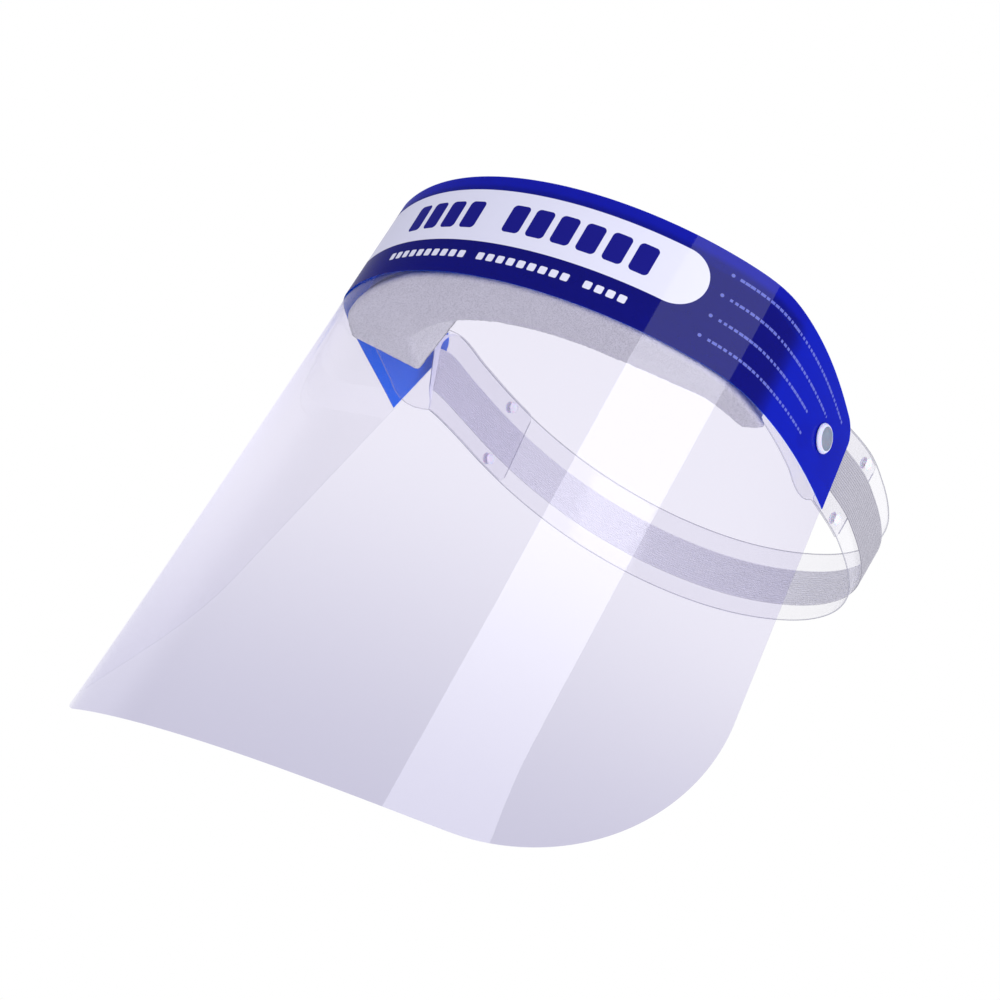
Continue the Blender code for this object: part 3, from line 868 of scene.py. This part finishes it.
def clear_strips(finish, rear_finish, rim):
    front = strip("front_strip", -(SNAP_AT + FRONT_END["right"]), SNAP_AT + FRONT_END["left"],
                  BAND_WIDTH, 0.0, BAND_THICK, 0.0015, 21, STRIP_CORNER["front"])
    finish_piece(front, "headband", "clear_strap", [finish, rim], "front_band")
    start = SNAP_AT + REAR_START
    rear = strip("rear_strip", start, LOOP["length"] - start, BAND_WIDTH,
                 BAND_THICK + GAP, BAND_THICK, 0.0008, 21, STRIP_CORNER["rear"])
    finish_piece(rear, "headband", "clear_strap", [rear_finish, rim], "rear_band")


def woven_elastic(finish, back):
    start = SNAP_AT + REAR_START + ELASTIC_SET_IN
    end = LOOP["length"] - start
    columns = np.linspace(start, end, 300)
    across = eased_rows(ELASTIC_WIDTH, ELASTIC_THICK, ELASTIC_RIBS * 6 + 1)
    level = np.broadcast_to(across[None, :], (len(columns), len(across)))
    rib = np.cos(level / ELASTIC_WIDTH * ELASTIC_RIBS * 2 * np.pi)
    share = edge_share(level, ELASTIC_WIDTH, ELASTIC_THICK)
    swell = (ELASTIC_THICK / 2 - RIB_HEIGHT * (0.5 + 0.5 * rib)) * share
    middle = 1.5 * BAND_THICK + 2 * GAP + ELASTIC_THICK / 2
    made = shell("woven_elastic", columns, across, lambda at, row: (at, row), band_point,
                 middle - swell, middle + swell, own_back=True)
    # The inner face gets the paler copy of the elastic, painted light
    finish_piece(made, "headband", "grey_elastic", [finish, finish, back], "elastic_strip")


def foam_depths(at):
    """Offsets of the foam's outer and inner faces from the headband's path."""
    outer = -BAND_THICK / 2 - 3 * GAP - TAPE_THICK
    share = np.maximum(at - PINCH_FROM, 0.0) / (FOAM_REACH - PINCH_FROM)
    return outer, band_depth(at) - FOAM_DEPTH + PINCH_DEPTH * share**PINCH_SHAPE


def rounded_section(half_wide, half_deep, corner, count):
    """Points round a rounded rectangle, evenly by arc length."""
    corner = min(corner, half_wide * 0.98, half_deep * 0.98)
    a, b = half_wide - corner, half_deep - corner
    loop = []
    for cx, cy, first in ((a, b, 0), (-a, b, 90), (-a, -b, 180), (a, -b, 270)):
        for turn in np.radians(np.linspace(first, first + 90, 8)):
            loop.append((cx + corner * math.cos(turn), cy + corner * math.sin(turn)))
    loop = np.array(loop + loop[:1])
    travelled = np.concatenate([[0], np.cumsum(np.linalg.norm(np.diff(loop, axis=0), axis=1))])
    want = np.linspace(0, travelled[-1], count, endpoint=False)
    return np.stack([np.interp(want, travelled, loop[:, k]) for k in range(2)], -1)


def brow_foam(finish):
    """The pad: rounded sections along the path, closed by soft flat ends, with a cellular skin.

    It swells towards the sheet above and below the tape. On the wearer's right it sags, and its
    end is cut at a slant, shorter towards the sheet and most of all at the bottom.
    """
    start = -FOAM_REACH - FOAM_TAIL
    end = FOAM_REACH - FOAM_SHORT
    stations = [(at, 0.0) for at in np.arange(start + FOAM_ROUND, end - FOAM_ROUND, FOAM_STEP)]
    arc = [(FOAM_ROUND * math.sin(t), FOAM_ROUND * (1 - math.cos(t)))
           for t in np.radians(np.arange(0, 91, 18))]
    cap = [(FOAM_ROUND, FOAM_ROUND + inset) for inset in np.linspace(0.001, 0.0095, 9)]
    for along, inset in arc + cap:
        stations.append((end - FOAM_ROUND + along, inset))
        stations.insert(0, (start + FOAM_ROUND - along, inset))
    points = []
    for at, inset in stations:
        outer, inner = foam_depths(np.array(at))
        half_deep = max((outer - inner) / 2 - inset, 0.0004)
        half_wide = FOAM_HEIGHT / 2 - inset
        section = rounded_section(half_wide, half_deep, FOAM_ROUND, FOAM_AROUND)
        low = np.clip(section[:, 0] / half_wide, -1, 1)
        front = np.clip(section[:, 1] / half_deep, 0, 1)
        beyond = np.clip((np.abs(section[:, 0]) - TAPE_HEIGHT / 2) / 0.004, 0, 1)
        swell = FOAM_BULGE * front * beyond * beyond * (3 - 2 * beyond)
        hang = min(max((-at - SAG_FROM) / (SAG_FULL - SAG_FROM), 0), 1)
        toward_sheet = np.clip(0.5 + section[:, 1] / half_deep / 2, 0, 1)
        across = section[:, 0] + FOAM_SAG * hang * np.clip(low, 0, 1) ** 2 * toward_sheet
        cut = min(max((-at - SLANT_FROM) / (FOAM_REACH + FOAM_TAIL - SLANT_FROM), 0), 1)
        along = at + FOAM_SLANT * cut**1.3 * toward_sheet * (0.65 + 0.35 * low)
        points.append(band_point(along, across, (outer + inner) / 2 + section[:, 1] + swell))
    points = np.concatenate(points)
    number = np.arange(len(points)).reshape(len(stations), FOAM_AROUND)
    after = np.roll(number, -1, axis=1)
    faces = np.stack([number[:-1], number[1:], after[1:], after[:-1]], -1).reshape(-1, 4).tolist()
    faces.append(number[0].tolist())
    faces.append(number[-1][::-1].tolist())
    made = add_mesh("brow_foam", points, faces, 180)
    made.data.update()
    normals = np.zeros(len(points) * 3, np.float32)
    made.data.vertices.foreach_get("normal", normals)
    normals = normals.reshape(-1, 3)
    into = np.zeros(len(points))
    for scale, depth in (FOAM_CELLS, FOAM_WAVES):
        into += np.abs([noise.noise(Vector(p) * scale) for p in points]) * depth
    moved = points - normals * into[:, None]
    made.data.vertices.foreach_set("co", moved.astype(np.float32).ravel())
    made.data.update()
    finish_piece(made, "headband", "grey_foam", [finish], "foam_pad")


def tape_strip(finish):
    reach = FOAM_REACH - TAPE_SET_IN
    outer = -BAND_THICK / 2 - GAP
    made = strip("foam_tape_strip", -reach, reach, TAPE_HEIGHT, outer - TAPE_THICK / 2, TAPE_THICK,
                 0.002, 9, 0.001)
    finish_piece(made, "headband", "white_tape", [finish, finish], "foam_tape")


# ---- snaps and studs ----------------------------------------------------------------


def snap_place(side):
    point, _, normal = sheet_frame(SIDES[side] * SNAP_FROM_MIDDLE, SNAP_BELOW_TOP)
    return looking(point, normal)


def snap_parts(side, finish, recess):
    place = snap_place(side)
    base = GAP + FILM_THICK + GAP
    top = base + CAP_THICK
    floor = top - CAP_RECESS
    cap = [(0, POST_END), (POST_RADIUS, POST_END), (POST_RADIUS, base), (CAP_RADIUS, base),
           (CAP_RADIUS, base + CAP_WALL), (CAP_RADIUS - CAP_WALL, top),
           (RECESS_TOP, top), (RECESS_FLOOR, floor), (0, floor)]
    made = turned(f"snap_cap_{side}_fine", rounded(cap, 0.0004), place, 96)
    finish_piece(made, "visor", "snap_plastic", [finish, recess], f"snap_cap_{side}")
    local = place.inverted()
    for face in made.data.polygons:
        centre = local @ face.center
        # Faces of the recess floor take the darker finish, painted shade
        face.material_index = int(centre.xy.length < RECESS_SHADE_REACH and centre.z > floor - 0.0002)
    bore, lip, skin, mouth = POST_RADIUS + GAP, BALL_RADIUS - GAP / 3, -SHEET_THICK - GAP, -SOCKET_MOUTH
    socket = [(bore, skin), (SOCKET_RADIUS, skin), (SOCKET_RADIUS, mouth + 0.0004),
              (SOCKET_RADIUS - 0.0004, mouth), (lip, mouth), (bore, mouth + 0.0004)]
    made = turned(f"snap_socket_{side}_fine", rounded(socket, 0.0002), place, 72)
    finish_piece(made, "visor", "snap_plastic", [finish], f"snap_socket_{side}")
    back = -STUD_FACE - STUD_THICK
    stud = [(0, back + 0.0004), (0.0015, back + 0.0004), (0.0015, back), (SOCKET_RADIUS, back),
            (SOCKET_RADIUS, -STUD_FACE), (0.0011, -STUD_FACE)]
    stud = rounded(stud, 0.0002)
    stud += [(BALL_RADIUS * math.cos(t), -BALL_DEPTH + BALL_RADIUS * math.sin(t))
             for t in np.radians(np.arange(BALL_FROM, BALL_TO, BALL_STEP))]
    stud.append((0, -BALL_DEPTH + BALL_RADIUS))
    made = turned(f"snap_stud_{side}_fine", stud, place, 72)
    finish_piece(made, "headband", "snap_plastic", [finish], f"snap_stud_{side}")
    base = back - GAP - BAND_THICK - BACK_GAP
    cap = [(0, back + 0.0001), (0.0012, back + 0.0001), (0.0012, base), (BACK_CAP_RADIUS, base),
           (BACK_CAP_RADIUS, base - 0.0004), (BACK_CAP_RADIUS - 0.0007, base - 0.0008), (0, base - 0.0011)]
    made = turned(f"snap_back_cap_{side}_fine", rounded(cap, 0.0003), place, 96)
    finish_piece(made, "headband", "snap_plastic", [finish], f"snap_back_cap_{side}")


def band_studs(finish):
    margin = (BAND_WIDTH + ELASTIC_WIDTH) / 4
    outer, inner = 1.5 * BAND_THICK + 2 * GAP, -BAND_THICK / 2 - GAP
    head, crown, shank, thick = (BAND_STUD[key] for key in ("head", "crown", "shank", "thick"))
    profile = [(0, inner - thick), (crown, inner - thick), (head, inner), (shank, inner), (shank, outer),
               (head, outer), (crown, outer + thick), (0, outer + thick)]
    for side, sign in SIDES.items():
        for level, across in (("upper", -margin), ("lower", margin)):
            point, down, out = band_frame(np.array(sign * (SNAP_AT + STUD_PLACE[side])))
            place = looking(point + down * across, out)
            made = turned(f"band_stud_{side}_{level}_fine", rounded(profile, 0.0003), place, 48)
            finish_piece(made, "headband", "stud_plastic", [finish], f"band_stud_{side}_{level}")


# ---- surroundings -------------------------------------------------------------------


def world():
    """White surroundings for soft light. Their mirror image is dim, and bright low at the back left."""
    made = bpy.data.worlds.new("studio")
    bpy.context.scene.world = made
    made.use_nodes = True
    n = Nodes(made.node_tree)
    path = n.add("ShaderNodeLightPath")
    soft = n.add("ShaderNodeBackground", Color=(0.95, 0.95, 1.0, 1), Strength=1.0)
    white = n.add("ShaderNodeBackground", Color=(1, 1, 1, 1), Strength=1.0)
    direction = n.add("ShaderNodeTexCoord").outputs["Generated"]
    towards = n.add("ShaderNodeVectorMath", {"operation": "DOT_PRODUCT"}, i0=direction, i1=BRIGHT_SIDE)
    height = n.add("ShaderNodeSeparateXYZ", Vector=direction).outputs[2]
    bright = n.math("MULTIPLY", smooth_step(n, towards.outputs["Value"], *BRIGHT_TURN),
                    smooth_step(n, height, *BRIGHT_HEIGHT))
    colour = n.mix(bright, MIRRORED_DIM, MIRRORED_BRIGHT)
    dim = n.add("ShaderNodeBackground", Color=colour, Strength=1.0)
    lit = n.add("ShaderNodeMixShader", i0=path.outputs["Is Glossy Ray"], i1=soft.outputs[0],
                i2=dim.outputs[0])
    mixed = n.add("ShaderNodeMixShader", i0=path.outputs["Is Camera Ray"], i1=lit.outputs[0],
                  i2=white.outputs[0])
    n.add("ShaderNodeOutputWorld", Surface=mixed.outputs[0])


def floor():
    outline = [(FLOOR_RADIUS * math.cos(t), FLOOR_RADIUS * math.sin(t), FLOOR_LEVEL)
               for t in np.radians(np.arange(0, 360, 5))]
    made = add_mesh("pale_floor", outline, [list(range(len(outline)))])
    finish, n = new_material("pale_floor")
    grain = n.noise(n.object_place(1.0), 3.0, 3.0)
    shader = n.add("ShaderNodeBsdfPrincipled", Roughness=0.8,
                   Base_Color=n.mix(grain, (0.80, 0.80, 0.81), (0.84, 0.84, 0.85)))
    n.output(shader.outputs[0])
    made.data.materials.append(finish)


def softbox():
    """A glowing panel at the upper front left of the wearer, which the sheet and film mirror."""
    points = [SOFTBOX_TOWARDS * SOFTBOX_AWAY + SOFTBOX_RIGHT * x + SOFTBOX_UP * y
              for x, y in SOFTBOX_OUTLINE]
    made = add_mesh("softbox", points, [list(range(len(points)))])
    finish, n = new_material("softbox")
    n.output(n.add("ShaderNodeEmission", Color=(0.96, 0.97, 1, 1), Strength=SOFTBOX_GLOW).outputs[0])
    made.data.materials.append(finish)
    made.visible_camera = False
    made.visible_shadow = False


def fill_light():
    """A soft light from below on the wearer's left, which reaches the foam's inner faces."""
    data = bpy.data.lights.new("fill", "AREA")
    data.energy, data.size = FILL_POWER, FILL_SIZE
    made = bpy.data.objects.new("fill", data)
    bpy.context.scene.collection.objects.link(made)
    made.matrix_world = looking(FILL_AT, FILL_AT)
    made.visible_glossy = False
    made.visible_camera = False


def camera():
    data = bpy.data.cameras.new("camera")
    data.lens, data.sensor_width = LENS, SENSOR
    made = bpy.data.objects.new("camera", data)
    bpy.context.scene.collection.objects.link(made)
    turn = Matrix.Rotation(CAMERA_TURN.length, 3, CAMERA_TURN.normalized())
    basis = Matrix((turn[0], -turn[1], -turn[2])).transposed()
    made.matrix_world = Matrix.Translation(CAMERA_AT) @ basis.to_4x4()
    bpy.context.scene.camera = made


def main():
    clear, rim, strap_rim = clear_sheet(), cut_edge("sheet_edge", 0.06), cut_edge("strap_edge", 0.85)
    start = SNAP_AT + REAR_START
    strap = clear_strap("clear_strap", 0.35)
    rear_strap = clear_strap("rear_clear_strap", 0.6, (start, LOOP["length"] - start))
    visor_sheet(clear, rim)
    printed_band(printed_film(), rim, film_back())
    clear_strips(strap, rear_strap, strap_rim)
    woven_elastic(grey_elastic("elastic_face", *ELASTIC_FACE), grey_elastic("elastic_back_painted_light", *ELASTIC_BACK_PAINTED_LIGHT))
    brow_foam(grey_foam())
    tape_strip(white_tape())
    plastic = snap_plastic("snap_plastic", *SNAP_COLOURS, 0.3)
    recess = snap_plastic("snap_recess_shade", *RECESS_SHADE_COLOURS, 0.5)
    for side in SIDES:
        snap_parts(side, plastic, recess)
    band_studs(snap_plastic("stud_plastic", *STUD_COLOURS, 0.3))
    world()
    floor()
    softbox()
    fill_light()
    camera()
    bpy.context.scene.view_settings.view_transform = "Standard"
    bpy.context.scene.cycles.transparent_max_bounces = 32


main()
